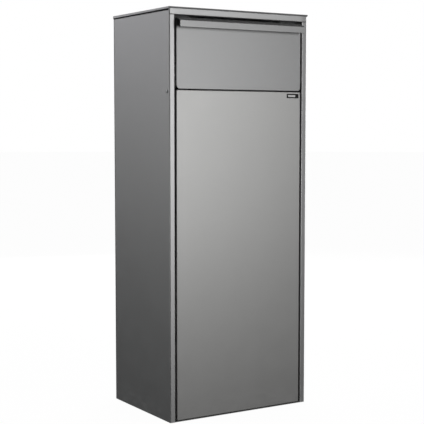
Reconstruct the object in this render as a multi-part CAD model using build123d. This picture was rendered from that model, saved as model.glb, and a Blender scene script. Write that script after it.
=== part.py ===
from build123d import *
import os
from math import cos, radians, sin, tan

# Parcel drop box: a folded-steel cabinet with a tilting hopper above an inset door.
# Millimetres. +X to the right seen from the front, +Y to the rear, +Z up.
# The origin is on the floor, at the centre of the cabinet's footprint.

# Cabinet
WIDTH = 422.0
DEPTH = 304.0
HEIGHT = 1050.0
SHEET = 1.5
BEND = 1.0
STILE = 15.4
STILE_RETURN = 22.0
REAR_FLANGE = 20.0
TOP_FLANGE = 15.0
FIT = 0.2
CUT = 1.0
NEAR = 0.1
CORNER_SHARE = 0.9

# Roof and header
ROOF_FRONT_OVERHANG = 4.7
ROOF_LIP_DROP = 4.6
ROOF_LIP_SET_BACK = 3.3
ROOF_SIDE_GAP = 0.5
ROOF_SIDE_DROP = 6.0
HEADER_UNDERSIDE = 19.5
HEADER_DEPTH = 24.0
HEADER_TOP_FLANGE = 16.8
HEADER_HEM = 6.0

# Base
TRAY_UPSTAND = 20.0
SILL_HEIGHT = 20.5
SILL_FOOT = 18.0
SILL_HEM = 9.0
SILL_CLEARANCE = 1.4
MAT_THICKNESS = 3.0
MAT_GAP = 1.0
ANCHOR_SPACING_X = 300.0
ANCHOR_SPACING_Y = 160.0
ANCHOR_RADIUS = 5.25
MAT_HOLE_RADIUS = 12.0
WALL_SPACING_X = 300.0
WALL_SPACING_Z = 700.0
WALL_CENTRE_Z = 500.0
WALL_HOLE_RADIUS = 4.25

# Door
HOPPER_ZONE = 205.2
DOOR_FLOOR_GAP = 3.0
DOOR_SIDE_GAP = 4.2
DOOR_DEPTH = 20.0
DOOR_CORNER = 2.0
HINGE_INSET = 22.0
HINGE_BACK = 12.0
PIN_RADIUS = 2.5
PIN_HEAD_RADIUS = 4.0
PIN_HEAD_HEIGHT = 1.5
TOP_PIN_REACH = 8.0
BOTTOM_PIN_REACH = 11.0
RUNNING = 0.05
BUSH_WALL = 1.85
BUSH_FLANGE_RADIUS = 5.7
BUSH_TAIL = 4.5
STIFFENER_OFFSET = 90.0
STIFFENER_WIDTH = 50.0
STIFFENER_DEPTH = 12.0
STIFFENER_SHEET = 1.2
STIFFENER_WING = 15.0
STIFFENER_END_GAP = 25.0
BADGE_WIDTH = 38.0
BADGE_HEIGHT = 11.5
BADGE_THICKNESS = 0.8
BADGE_SIDE_INSET = 6.4
BADGE_TOP_INSET = 5.3
BADGE_CORNER = 1.5

# Door hinge bracket
BRACKET_PLATE = 3.0
BRACKET_WIDTH = 22.0
BRACKET_FLANGE = 30.0
BRACKET_CLEARANCE = 0.4
BRACKET_NOSE = 4.5

# Door stops
LOW_STOP_RISE = 117.0
HIGH_STOP_DROP = 124.8
STOP_WIDTH = 24.0
STOP_REACH = 10.2
PAD_WIDTH = 8.2
PAD_HEIGHT = 16.0
PAD_CLEARANCE = 0.3

# Hopper
HOPPER_SHEET = 1.2
SEAM = 3.0
PIVOT_BACK = 6.0
PIVOT_RISE = 5.5
HOPPER_CORNER = 7.5
HOPPER_RETURN = 20.0
HOPPER_TILT = 42.0
BUCKET_INSET = 53.4
FLOOR_SLOPE = 35.0
FLOOR_REACH = 100.0
FLOOR_FLANGE = 15.0
FLOOR_REAR_FLANGE = 7.5
DOOR_CLEARANCE = 2.0
CHEEK_RADIUS = 150.0
CHEEK_SPREAD = 56.0
CHEEK_FLANGE = 12.0
CHEEK_FLANGE_GAP = 5.0
EAR_PLATE = 1.5
EAR_FRONT = 5.0
EAR_REAR = 9.0
EAR_BELOW = 6.0
EAR_CORNER = 3.0
EAR_CLEARANCE = 0.7
EAR_TOP = 60.0
EAR_JOGGLE_LOW = 12.0
EAR_JOGGLE_HIGH = 17.0
EAR_BUSH_WALL = 0.85
EAR_BUSH_OVERHANG = 0.1
RIVET_RADIUS = 2.0
RIVET_HEAD = 3.6
RIVET_HEAD_HEIGHT = 1.2
RIVET_LOW_HEAD_HEIGHT = 0.6
RIVET_HEIGHTS = (28.0, 50.0)
HOLE_SLACK = 0.05

# Hopper pivots: a pin in a block that is screwed to the side panel
PIVOT_PIN_RADIUS = 2.5
PIVOT_PIN_GRIP = 10.0
BLOCK_FRONT = 3.0
BLOCK_REAR = 20.0
BLOCK_BELOW = 12.0
BLOCK_ABOVE = 20.0
BLOCK_SCREW_BACK = 13.0
BLOCK_SCREW_DROP = 4.3
BLOCK_SCREW_RADIUS = 2.5
BLOCK_SCREW_GRIP = 10.0
BLOCK_SCREW_HEAD = 4.6
BLOCK_SCREW_HEAD_HEIGHT = 2.6
BLOCK_SCREW_CROWN = 1.82

# Pull handle
PULL_PROJECTION = 18.7
PULL_STRIP_DROP = 31.5
PULL_STRIP_HEIGHT = 17.9
PULL_TOP_GAP = 3.0
PULL_END_GAP = 1.2
PULL_SHEET = 1.5
PULL_TAIL = 20.0
PULL_CORNER = 4.0
PULL_TRIM_DROP = 4.0
PANEL_ABOVE_SHOULDER = 5.0

# Consoles beside the bucket
CONSOLE_SET_BACK = 25.0
CONSOLE_RISE = 6.7
CONSOLE_FLANGE = 22.0
BUCKET_CLEARANCE = 3.0
BUFFER_RADIUS = 5.0
BUFFER_ARM = 132.0
BUFFER_OVERLAP = 7.0
BUMPER_RADIUS = 6.0
BUMPER_INSET = 23.4
BUMPER_RISE = 135.0

# Lock
LOCK_INSET = 15.4
LOCK_RISE = 26.7
LOCK_BARREL_RADIUS = 9.4
LOCK_BEZEL_RADIUS = 11.0
LOCK_BEZEL_HEIGHT = 2.5
LOCK_EDGE = 1.0
LOCK_NUT_RADIUS = 13.0
LOCK_NUT_HEIGHT = 4.0
LOCK_BARREL_TAIL = 7.5
PLUG_RADIUS = 6.0
KEYWAY_WIDTH = 1.6
KEYWAY_HEIGHT = 8.0
KEYWAY_DEPTH = 8.0
CAM_LENGTH = 34.0
CAM_WIDTH = 14.0
CAM_PLATE = 2.5
CAM_GAP = 0.5
CAM_CORNER = 3.0
CAM_SCREW_RADIUS = 3.5
CAM_SCREW_HEIGHT = 3.0
CAM_SCREW_CROWN = 1.0
KEEPER_WIDTH = 20.0
KEEPER_SHEET = 1.5
KEEPER_STEP = 8.3
KEEPER_LIP_GAP = 1.5
KEEPER_GAP = 2.0

# Plate against fishing
CATCH_TOP_DROP = 39.8
CATCH_FLAT = 30.0
CATCH_REACH = 45.5
CATCH_DROP = 47.0
CATCH_SIDE_GAP = 3.0
CATCH_NOTCHES = 12
CATCH_NOTCH_WIDTH = 14.0
CATCH_NOTCH_DEPTH = 12.0

# Places that follow from the sizes above
FRONT = -DEPTH / 2
BACK = DEPTH / 2
SIDE = WIDTH / 2
SIDE_INNER = SIDE - SHEET
MOUTH = SIDE - STILE
LEG_OUTER = MOUTH + SHEET
LEG_END = FRONT + STILE_RETURN
PANEL_BACK = BACK - SHEET
ROOF_UNDER = HEIGHT - SHEET
HEADER_BOTTOM = HEIGHT - HEADER_UNDERSIDE
DOOR_TOP = HEIGHT - HOPPER_ZONE
PULL_STRIP_BOTTOM = HEADER_BOTTOM - PULL_STRIP_DROP
LEAF = MOUTH - DOOR_SIDE_GAP
BUCKET_HALF = LEAF - BUCKET_INSET
BUMPER_X = LEAF - BUMPER_INSET
LOCK_X = LEAF - LOCK_INSET
HOPPER_BOTTOM = DOOR_TOP + SEAM
PIVOT_Y = FRONT + PIVOT_BACK
PIVOT_Z = HOPPER_BOTTOM + PIVOT_RISE
BLOCK_SCREW_Y = FRONT + BLOCK_SCREW_BACK
BLOCK_SCREW_Z = DOOR_TOP - BLOCK_SCREW_DROP
HINGE_X = -LEAF + HINGE_INSET
HINGE_Y = FRONT + HINGE_BACK
PANEL_INNER = FRONT + HOPPER_SHEET
CONSOLE_Y = FRONT + CONSOLE_SET_BACK
CONSOLE_INNER = BUCKET_HALF + BUCKET_CLEARANCE
CONSOLE_BOTTOM = DOOR_TOP + CONSOLE_RISE
EAR_OUTER = MOUTH - EAR_CLEARANCE
EAR_INNER = EAR_OUTER - EAR_PLATE
DOOR_REAR = FRONT + DOOR_DEPTH
HINGE_SWEEP = (HINGE_INSET ** 2 + (DOOR_DEPTH - HINGE_BACK) ** 2) ** 0.5
SILL_FRONT = HINGE_Y + HINGE_SWEEP + SILL_CLEARANCE
STOP_HEIGHTS = (DOOR_FLOOR_GAP + LOW_STOP_RISE, DOOR_TOP - HIGH_STOP_DROP)
CATCH_TOP = DOOR_TOP - CATCH_TOP_DROP
CATCH_BEND = CATCH_TOP - CATCH_FLAT
LOCK_Z = DOOR_TOP + LOCK_RISE
CAM_Y = CONSOLE_Y + SHEET + LOCK_BARREL_TAIL + CAM_GAP
KEEPER_LIP_Y = CAM_Y + CAM_PLATE + KEEPER_LIP_GAP


def block(x0, x1, y0, y1, z0, z1):
    """A box between six faces."""
    middle = Pos((x0 + x1) / 2, (y0 + y1) / 2, (z0 + z1) / 2)
    return middle * Box(x1 - x0, y1 - y0, z1 - z0)


def rod_x(x0, x1, y, z, radius):
    """A cylinder along X."""
    return Pos((x0 + x1) / 2, y, z) * Rot(0, 90, 0) * Cylinder(radius, x1 - x0)


def rod_y(x, y0, y1, z, radius):
    """A cylinder along Y."""
    return Pos(x, (y0 + y1) / 2, z) * Rot(90, 0, 0) * Cylinder(radius, y1 - y0)


def rod_z(x, y, z0, z1, radius):
    """A cylinder along Z."""
    return Pos(x, y, (z0 + z1) / 2) * Cylinder(radius, z1 - z0)


def folded(points, sheet, right=True):
    """The section of a folded sheet: one face follows the points, the other lies beside it."""
    side = -1 if right else 1
    path = [Vector(*point) for point in points]
    runs = [(b - a).normalized() for a, b in zip(path, path[1:])]
    normals = [Vector(-run.Y, run.X) * side for run in runs]
    far = [path[0] + normals[0] * sheet]
    near_radii = []
    far_radii = []
    for corner, before, after, run, turn in zip(path[1:-1], normals, normals[1:], runs, runs[1:]):
        mitre = (before + after).normalized()
        far.append(corner + mitre * (sheet / mitre.dot(before)))
        inside = (run.X * turn.Y - run.Y * turn.X) * side > 0
        near_radii.append(BEND + sheet if inside else BEND)
        far_radii.append(BEND if inside else BEND + sheet)
    far.append(path[-1] + normals[-1] * sheet)
    near_line = FilletPolyline(*path, radius=near_radii)
    far_line = FilletPolyline(*far, radius=far_radii)
    ends = [Line(path[0], far[0]), Line(path[-1], far[-1])]
    return make_face(Wire([*near_line.edges(), *far_line.edges(), *[end.edge() for end in ends]]))


def along_x(section, x0, x1):
    """A section drawn in Y and Z, carried along X."""
    return extrude(Plane.YZ.offset(x0) * section, amount=x1 - x0)


def along_z(section, z0, z1):
    """A section drawn in X and Y, carried along Z."""
    return extrude(Pos(0, 0, z0) * section, amount=z1 - z0)


def outline(points):
    """A face with straight edges."""
    return make_face(Polyline(*points, close=True))


def save(node, *solids):
    """Write one node to its STEP file."""
    shape = solids[0] if len(solids) == 1 else Compound(children=list(solids))
    shape.label = node
    export_step(shape, "parts/" + node + ".step")


def save_pair(left_node, right_node, left):
    """Write a left-hand piece and its mirror image."""
    save(left_node, left)
    save(right_node, mirror(left, about=Plane.YZ))


def both_sides(solid):
    """A solid and its mirror image."""
    return [solid, mirror(solid, about=Plane.YZ)]


def side_panel():
    """Left side: web, front stile with its return, rear flange and top flange."""
    section = folded(
        [(-MOUTH, LEG_END), (-MOUTH, FRONT), (-SIDE, FRONT), (-SIDE, PANEL_BACK),
         (-SIDE + REAR_FLANGE, PANEL_BACK)],
        SHEET,
    )
    panel = along_z(section, 0, ROOF_UNDER)
    panel += block(-SIDE_INNER, -SIDE_INNER + TOP_FLANGE, LEG_END + SHEET, PANEL_BACK - REAR_FLANGE,
                   ROOF_UNDER - SHEET, ROOF_UNDER)
    panel -= block(-SIDE_INNER, -MOUTH + CUT, FRONT - CUT, LEG_END + CUT, HEADER_BOTTOM - FIT * 2, HEIGHT)
    screw_hole = BLOCK_SCREW_RADIUS + HOLE_SLACK
    panel -= rod_x(-SIDE - CUT, -SIDE_INNER + CUT, BLOCK_SCREW_Y, BLOCK_SCREW_Z, screw_hole)
    panel -= rod_x(-LEG_OUTER - CUT, -MOUTH + CUT, PIVOT_Y, PIVOT_Z, PIVOT_PIN_RADIUS + HOLE_SLACK)
    return panel


def back_panel():
    """Flat rear sheet with four holes for a wall."""
    panel = block(-SIDE, SIDE, PANEL_BACK, BACK, 0, ROOF_UNDER)
    holes = GridLocations(WALL_SPACING_X, WALL_SPACING_Z, 2, 2)
    for spot in holes:
        x, z, _ = spot.position
        panel -= rod_y(x, PANEL_BACK - CUT, BACK + CUT, WALL_CENTRE_Z + z, WALL_HOLE_RADIUS)
    return panel


def base_pan():
    """Floor tray, narrower between the stiles, with three upstands and anchor holes."""
    inner = SIDE_INNER - FIT
    rear = PANEL_BACK - SHEET - BEND - FIT
    front_of_webs = LEG_END + FIT
    pan = block(-inner, inner, front_of_webs, rear, 0, SHEET)
    pan += block(-MOUTH + FIT, MOUTH - FIT, FRONT + FIT, front_of_webs, 0, SHEET)
    pan += block(-inner, inner, rear - SHEET, rear, 0, TRAY_UPSTAND)
    for upstand in both_sides(block(-inner, -inner + SHEET, front_of_webs, rear, 0, TRAY_UPSTAND)):
        pan += upstand
    for spot in GridLocations(ANCHOR_SPACING_X, ANCHOR_SPACING_Y, 2, 2):
        x, y, _ = spot.position
        pan -= rod_z(x, y, -CUT, SHEET + CUT, ANCHOR_RADIUS)
    return pan


def front_sill():
    """Low rail across the front of the tray, behind the swinging door."""
    half = SIDE_INNER - FIT - SHEET - FIT
    section = folded(
        [(SILL_FRONT + SILL_FOOT, SHEET), (SILL_FRONT, SHEET), (SILL_FRONT, SILL_HEIGHT),
         (SILL_FRONT + SILL_HEM, SILL_HEIGHT)],
        SHEET,
    )
    return along_x(section, -half, half)


def compartment_mat():
    """Rubber mat on the floor, cleared around the anchor bolts."""
    half = SIDE_INNER - FIT - SHEET - MAT_GAP
    front = SILL_FRONT + SILL_FOOT + MAT_GAP
    rear = PANEL_BACK - 2 * SHEET - BEND - FIT - MAT_GAP
    mat = block(-half, half, front, rear, SHEET, SHEET + MAT_THICKNESS)
    for spot in GridLocations(ANCHOR_SPACING_X, ANCHOR_SPACING_Y, 2, 2):
        x, y, _ = spot.position
        mat -= rod_z(x, y, 0, SHEET + MAT_THICKNESS + CUT, MAT_HOLE_RADIUS)
    return mat


def roof_pan():
    """Roof sheet with down-turned sides and an undercut front lip."""
    outer = SIDE + ROOF_SIDE_GAP + SHEET
    nose = FRONT - ROOF_FRONT_OVERHANG
    lip = (nose + ROOF_LIP_SET_BACK, HEIGHT - ROOF_LIP_DROP)
    roof = along_x(folded([(BACK, HEIGHT), (nose, HEIGHT), lip], SHEET, right=False), -outer, outer)
    cheek = outline([(BACK, HEIGHT - SHEET / 2), (nose + SHEET, HEIGHT - SHEET / 2),
                     (lip[0] + SHEET, HEIGHT - ROOF_SIDE_DROP), (BACK, HEIGHT - ROOF_SIDE_DROP)])
    for flange in both_sides(along_x(cheek, -outer, -outer + SHEET)):
        roof += flange
    corners = roof.edges().filter_by(Axis.Z).group_by(Axis.Y)[-1]
    return fillet([edge for edge in corners if abs(edge.center().X) > outer - NEAR], SHEET * CORNER_SHARE)


def header_rail():
    """Channel across the mouth, above the hopper."""
    half = SIDE_INNER - FIT
    section = folded(
        [(FRONT + HEADER_TOP_FLANGE, ROOF_UNDER), (FRONT, ROOF_UNDER), (FRONT, HEADER_BOTTOM),
         (FRONT + HEADER_DEPTH, HEADER_BOTTOM), (FRONT + HEADER_DEPTH, HEADER_BOTTOM + HEADER_HEM)],
        SHEET,
        right=False,
    )
    return along_x(section, -half, half)


def console():
    """Left blanking panel between the side and the bucket."""
    web = SIDE_INNER - FIT
    section = folded(
        [(-web, CONSOLE_Y + CONSOLE_FLANGE), (-web, CONSOLE_Y), (-CONSOLE_INNER, CONSOLE_Y)],
        SHEET,
        right=False,
    )
    return along_z(section, CONSOLE_BOTTOM, ROOF_UNDER - SHEET - FIT)


def bracket_rivet_spots():
    """Centres of the two rivets that hold the hinge bracket, as X and Z."""
    height = CONSOLE_BOTTOM + BRACKET_FLANGE / 2
    return [(HINGE_X + step, height) for step in (-BRACKET_WIDTH / 4, BRACKET_WIDTH / 4)]


def hinge_bracket():
    """Angle bracket on the left console, reaching over the top of the door to its pin."""
    bottom = DOOR_TOP + BRACKET_CLEARANCE
    left = HINGE_X - BRACKET_WIDTH / 2
    right = HINGE_X + BRACKET_WIDTH / 2
    bracket = block(left, right, HINGE_Y - BRACKET_NOSE, CONSOLE_Y, bottom, bottom + BRACKET_PLATE)
    bracket += block(left, right, CONSOLE_Y - BRACKET_PLATE, CONSOLE_Y, bottom,
                     CONSOLE_BOTTOM + BRACKET_FLANGE)
    bracket -= rod_z(HINGE_X, HINGE_Y, bottom - CUT, bottom + BRACKET_PLATE + CUT, PIN_RADIUS + HOLE_SLACK)
    for x, z in bracket_rivet_spots():
        bracket -= rod_y(x, CONSOLE_Y - BRACKET_PLATE - CUT, CONSOLE_Y + CUT, z, RIVET_RADIUS + HOLE_SLACK)
    return bracket


def rivet_y(x, z, y0, y1):
    """Rivet along Y through a grip from y0 to y1, with a head at each end."""
    body = rod_y(x, y0 - RIVET_HEAD_HEIGHT, y1 + RIVET_HEAD_HEIGHT, z, RIVET_RADIUS)
    body += rod_y(x, y0 - RIVET_HEAD_HEIGHT, y0, z, RIVET_HEAD)
    return body + rod_y(x, y1, y1 + RIVET_HEAD_HEIGHT, z, RIVET_HEAD)


def rivet_x(y, z, x0, x1):
    """Rivet along X through a grip from x0 to x1, with a head at each end."""
    body = rod_x(x0 - RIVET_LOW_HEAD_HEIGHT, x1 + RIVET_HEAD_HEIGHT, y, z, RIVET_RADIUS)
    body += rod_x(x0 - RIVET_LOW_HEAD_HEIGHT, x0, y, z, RIVET_HEAD)
    return body + rod_x(x1, x1 + RIVET_HEAD_HEIGHT, y, z, RIVET_HEAD)


def bush_hole():
    """Radius of the hole that a door bush sits in."""
    return PIN_RADIUS + RUNNING + BUSH_WALL + HOLE_SLACK


def door_pin_top():
    """Headed pin through the hinge bracket into the door's top bush."""
    seat = DOOR_TOP + BRACKET_CLEARANCE + BRACKET_PLATE
    pin = rod_z(HINGE_X, HINGE_Y, DOOR_TOP - TOP_PIN_REACH, seat + PIN_HEAD_HEIGHT, PIN_RADIUS)
    return pin + rod_z(HINGE_X, HINGE_Y, seat, seat + PIN_HEAD_HEIGHT, PIN_HEAD_RADIUS)


def door_pin_bottom():
    """Shouldered pin on the tray, carrying the door's bottom bush."""
    shoulder = DOOR_FLOOR_GAP - PAD_CLEARANCE
    pin = rod_z(HINGE_X, HINGE_Y, SHEET, DOOR_FLOOR_GAP + BOTTOM_PIN_REACH, PIN_RADIUS)
    return pin + rod_z(HINGE_X, HINGE_Y, SHEET, shoulder, BUSH_FLANGE_RADIUS)


def door_bush(face, inward):
    """Flanged bush in the door's top or bottom return; inward is the way into the door."""
    flange = face + inward * SHEET
    tail = face + inward * (SHEET + BUSH_TAIL)
    low, high = sorted((face, tail))
    bush = rod_z(HINGE_X, HINGE_Y, low, high, PIN_RADIUS + RUNNING + BUSH_WALL)
    low, high = sorted((flange, flange + inward * SHEET))
    bush += rod_z(HINGE_X, HINGE_Y, low, high, BUSH_FLANGE_RADIUS)
    low, high = sorted((face - inward, tail + inward))
    return bush - rod_z(HINGE_X, HINGE_Y, low, high, PIN_RADIUS + RUNNING)


def door_skin():
    """Door front with four returns folded to the rear."""
    outer = block(-LEAF, LEAF, FRONT, DOOR_REAR, DOOR_FLOOR_GAP, DOOR_TOP)
    front_edges = outer.edges().group_by(Axis.Y)[0]
    upright = outer.edges().filter_by(Axis.Y)
    outer = fillet(front_edges + upright, DOOR_CORNER)
    inner = block(-LEAF + SHEET, LEAF - SHEET, FRONT + SHEET, DOOR_REAR + CUT,
                  DOOR_FLOOR_GAP + SHEET, DOOR_TOP - SHEET)
    door = outer - inner
    for z in (DOOR_FLOOR_GAP, DOOR_TOP):
        door -= rod_z(HINGE_X, HINGE_Y, z - 2 * SHEET, z + 2 * SHEET, bush_hole())
    return door


def door_stiffener(x):
    """Hat-section rib behind the door skin."""
    near = FRONT + SHEET
    half = STIFFENER_WIDTH / 2
    wing = half + STIFFENER_WING
    section = folded(
        [(x - wing, near), (x - half, near), (x - half, near + STIFFENER_DEPTH),
         (x + half, near + STIFFENER_DEPTH), (x + half, near), (x + wing, near)],
        STIFFENER_SHEET,
        right=False,
    )
    return along_z(section, DOOR_FLOOR_GAP + STIFFENER_END_GAP, DOOR_TOP - STIFFENER_END_GAP)


def lock_keeper():
    """Stepped strip under the door's top return, with a lip that the lock cam drops behind."""
    seat = DOOR_TOP - SHEET
    low = seat - KEEPER_STEP
    step = DOOR_REAR + KEEPER_GAP + KEEPER_SHEET
    section = folded(
        [(FRONT + SHEET + KEEPER_GAP, seat), (step, seat), (step, low), (KEEPER_LIP_Y, low),
         (KEEPER_LIP_Y, DOOR_TOP)],
        KEEPER_SHEET,
    )
    return along_x(section, LOCK_X - KEEPER_WIDTH / 2, LOCK_X + KEEPER_WIDTH / 2)


def badge_plate():
    """Plain plate in the door's upper right corner."""
    right = LEAF - BADGE_SIDE_INSET
    top = DOOR_TOP - BADGE_TOP_INSET
    plate = block(right - BADGE_WIDTH, right, FRONT - BADGE_THICKNESS, FRONT, top - BADGE_HEIGHT, top)
    return fillet(plate.edges().filter_by(Axis.Y), BADGE_CORNER)


def door_stop(z):
    """Plate on the right leg, behind the door's free edge."""
    return block(LEAF - STOP_REACH, SIDE_INNER, LEG_END, LEG_END + SHEET, z - STOP_WIDTH / 2,
                 z + STOP_WIDTH / 2)


def door_stop_pad(z):
    """Rubber pad on the stop plate, a hair behind the door's return."""
    return block(LEAF - PAD_WIDTH, LEAF, DOOR_REAR + PAD_CLEARANCE, LEG_END, z - PAD_HEIGHT / 2,
                 z + PAD_HEIGHT / 2)


def hopper_front():
    """Hopper's front sheet with two side returns that start above its rounded corners."""
    top = PULL_STRIP_BOTTOM + PULL_STRIP_HEIGHT + PANEL_ABOVE_SHOULDER
    low = HOPPER_BOTTOM + HOPPER_CORNER
    face = block(-LEAF, LEAF, FRONT, PANEL_INNER, HOPPER_BOTTOM, top)
    lower = face.edges().filter_by(Axis.Y).group_by(Axis.Z)[0]
    face = fillet(lower, HOPPER_CORNER)
    for flange in both_sides(block(-LEAF, -LEAF + HOPPER_SHEET, FRONT, FRONT + HOPPER_RETURN, low, top)):
        face += flange
    bends = face.edges().filter_by(Axis.Z).group_by(Axis.Y)[0]
    face = fillet(bends, HOPPER_SHEET * CORNER_SHARE)
    for rise in RIVET_HEIGHTS:
        face -= rod_x(-LEAF - CUT, LEAF + CUT, rivet_line(), PIVOT_Z + rise, RIVET_RADIUS + HOLE_SLACK)
    return face


def rivet_line():
    """Y of the rivets that join an ear to the hopper's side return."""
    return PIVOT_Y + (EAR_REAR - EAR_FRONT) / 2


def pull_handle():
    """Full-width pull: a slope from behind the hopper's top edge to a hanging front strip."""
    front = FRONT - PULL_PROJECTION
    shoulder = PULL_STRIP_BOTTOM + PULL_STRIP_HEIGHT
    top = HEADER_BOTTOM - PULL_TOP_GAP
    rear = PANEL_INNER + PULL_SHEET
    section = folded(
        [(front, PULL_STRIP_BOTTOM), (front, shoulder), (rear, top), (rear, top - PULL_TAIL)],
        PULL_SHEET,
    )
    half = LEAF - PULL_END_GAP
    tail_half = LEAF - HOPPER_SHEET - FIT
    handle = along_x(section, -half, half)
    for trim in both_sides(block(-half - CUT, -tail_half, PANEL_INNER - PULL_SHEET, rear + CUT,
                                 top - PULL_TAIL - CUT, top - PULL_TRIM_DROP)):
        handle -= trim
    ends = handle.edges().filter_by(Axis.Y).group_by(Axis.Z)[0]
    return fillet([edge for edge in ends if abs(edge.center().X) > half - NEAR], PULL_CORNER)


def floor_under(y):
    """Height of the hopper floor's underside at y, clear of the door's top rear edge."""
    return DOOR_TOP + DOOR_CLEARANCE - (y - DOOR_REAR) * tan(radians(FLOOR_SLOPE))


def hopper_floor():
    """Sloping floor of the bucket, flanged up behind the front sheet and down at the rear."""
    rear = PIVOT_Y + FLOOR_REACH
    foot = floor_under(PANEL_INNER)
    section = folded(
        [(PANEL_INNER, foot + FLOOR_FLANGE), (PANEL_INNER, foot), (rear, floor_under(rear)),
         (rear, floor_under(rear) - FLOOR_REAR_FLANGE)],
        HOPPER_SHEET,
        right=False,
    )
    half = BUCKET_HALF - HOPPER_SHEET
    return along_x(section, -half, half)


def hopper_cheek():
    """Left side of the bucket: a sector about the pivot, flanged outwards behind the front sheet."""
    rear = PIVOT_Y + FLOOR_REACH
    spread = radians(CHEEK_SPREAD)
    front_rise = (CHEEK_RADIUS ** 2 - (PIVOT_Y - PANEL_INNER) ** 2) ** 0.5
    tip = (PIVOT_Y + CHEEK_RADIUS * sin(spread), PIVOT_Z + CHEEK_RADIUS * cos(spread))
    front_top = (PANEL_INNER, PIVOT_Z + front_rise)
    half_way = radians(CHEEK_SPREAD / 2)
    crown = (PIVOT_Y + CHEEK_RADIUS * sin(half_way), PIVOT_Z + CHEEK_RADIUS * cos(half_way))
    edges = [
        Line((PANEL_INNER, floor_under(PANEL_INNER)), front_top),
        ThreePointArc(front_top, crown, tip),
        Line(tip, (rear, floor_under(rear))),
        Line((rear, floor_under(rear)), (PANEL_INNER, floor_under(PANEL_INNER))),
    ]
    face = make_face(Wire([edge.edge() for edge in edges]))
    cheek = along_x(face, -BUCKET_HALF, -BUCKET_HALF + HOPPER_SHEET)
    cheek += block(-BUCKET_HALF - CHEEK_FLANGE, -BUCKET_HALF, PANEL_INNER, PANEL_INNER + HOPPER_SHEET,
                   floor_under(PANEL_INNER) + FLOOR_FLANGE, front_top[1] - CHEEK_FLANGE_GAP)
    return cheek


def hopper_ear():
    """Left ear: a strip on the front's side return, joggled outwards and down to the pivot."""
    inner_top = -LEAF
    points = [
        (-EAR_INNER, PIVOT_Z - EAR_BELOW), (-EAR_INNER, PIVOT_Z + EAR_JOGGLE_LOW),
        (inner_top, PIVOT_Z + EAR_JOGGLE_HIGH), (inner_top, PIVOT_Z + EAR_TOP),
        (inner_top - EAR_PLATE, PIVOT_Z + EAR_TOP),
        (inner_top - EAR_PLATE, PIVOT_Z + EAR_JOGGLE_HIGH + HOLE_SLACK),
        (-EAR_OUTER, PIVOT_Z + EAR_JOGGLE_LOW + HOLE_SLACK), (-EAR_OUTER, PIVOT_Z - EAR_BELOW),
    ]
    rear = PIVOT_Y + EAR_REAR
    ear = extrude(Plane.XZ.offset(-rear) * outline(points), amount=EAR_FRONT + EAR_REAR)
    feet = ear.edges().filter_by(Axis.X).group_by(Axis.Z)[0]
    ear = fillet(feet, EAR_CORNER)
    ear -= rod_x(-EAR_OUTER - CUT, -EAR_INNER + CUT, PIVOT_Y, PIVOT_Z, ear_hole())
    for rise in RIVET_HEIGHTS:
        ear -= rod_x(-EAR_OUTER - CUT, -LEAF + CUT, rivet_line(), PIVOT_Z + rise, RIVET_RADIUS + HOLE_SLACK)
    return ear


def ear_hole():
    """Radius of the hole in an ear that its bush sits in."""
    return PIVOT_PIN_RADIUS + RUNNING + EAR_BUSH_WALL + HOLE_SLACK


def ear_bush():
    """Plain bush in the left ear, turning on the pivot pin."""
    outer = -EAR_OUTER - EAR_BUSH_OVERHANG
    bush = rod_x(outer, -EAR_INNER, PIVOT_Y, PIVOT_Z, ear_hole() - HOLE_SLACK)
    return bush - rod_x(outer - CUT, -EAR_INNER + CUT, PIVOT_Y, PIVOT_Z, PIVOT_PIN_RADIUS + RUNNING)


def ear_rivet(rise):
    """Rivet through the left ear and the hopper's side return."""
    return rivet_x(rivet_line(), PIVOT_Z + rise, -LEAF - EAR_PLATE, -LEAF + HOPPER_SHEET)


def pivot_block():
    """Left block in the stile's pocket: it holds the pivot pin and takes a screw from outside."""
    block_front = FRONT + BLOCK_FRONT
    block_rear = FRONT + BLOCK_REAR
    low = BLOCK_SCREW_Z - BLOCK_BELOW
    body = block(-SIDE_INNER, -LEG_OUTER, block_front, block_rear, low, BLOCK_SCREW_Z + BLOCK_ABOVE)
    body = fillet(body.edges().filter_by(Axis.X), BEND)
    body -= rod_x(-LEG_OUTER - PIVOT_PIN_GRIP, -LEG_OUTER + CUT, PIVOT_Y, PIVOT_Z,
                  PIVOT_PIN_RADIUS + HOLE_SLACK)
    screw_hole = BLOCK_SCREW_RADIUS + HOLE_SLACK
    return body - rod_x(-SIDE_INNER - CUT, -SIDE_INNER + BLOCK_SCREW_GRIP, BLOCK_SCREW_Y, BLOCK_SCREW_Z,
                        screw_hole)


def pivot_pin():
    """Left pivot pin: from the block, through the leg, to the inner face of the ear."""
    return rod_x(-LEG_OUTER - PIVOT_PIN_GRIP, -EAR_INNER, PIVOT_Y, PIVOT_Z, PIVOT_PIN_RADIUS)


def block_screw():
    """Left screw through the side panel into the pivot block, with a domed head outside."""
    shank_end = -SIDE_INNER + BLOCK_SCREW_GRIP
    screw = rod_x(-SIDE, shank_end, BLOCK_SCREW_Y, BLOCK_SCREW_Z, BLOCK_SCREW_RADIUS)
    head = rod_x(-SIDE - BLOCK_SCREW_HEAD_HEIGHT, -SIDE, BLOCK_SCREW_Y, BLOCK_SCREW_Z, BLOCK_SCREW_HEAD)
    crown = head.edges().filter_by(GeomType.CIRCLE).group_by(Axis.X)[0]
    return screw + fillet(crown, BLOCK_SCREW_CROWN)


def rest_bumper():
    """Rubber bumper on the left console, where the closed hopper rests."""
    return rod_y(-BUMPER_X, PANEL_INNER + PAD_CLEARANCE, CONSOLE_Y, PIVOT_Z + BUMPER_RISE, BUMPER_RADIUS)


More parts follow.
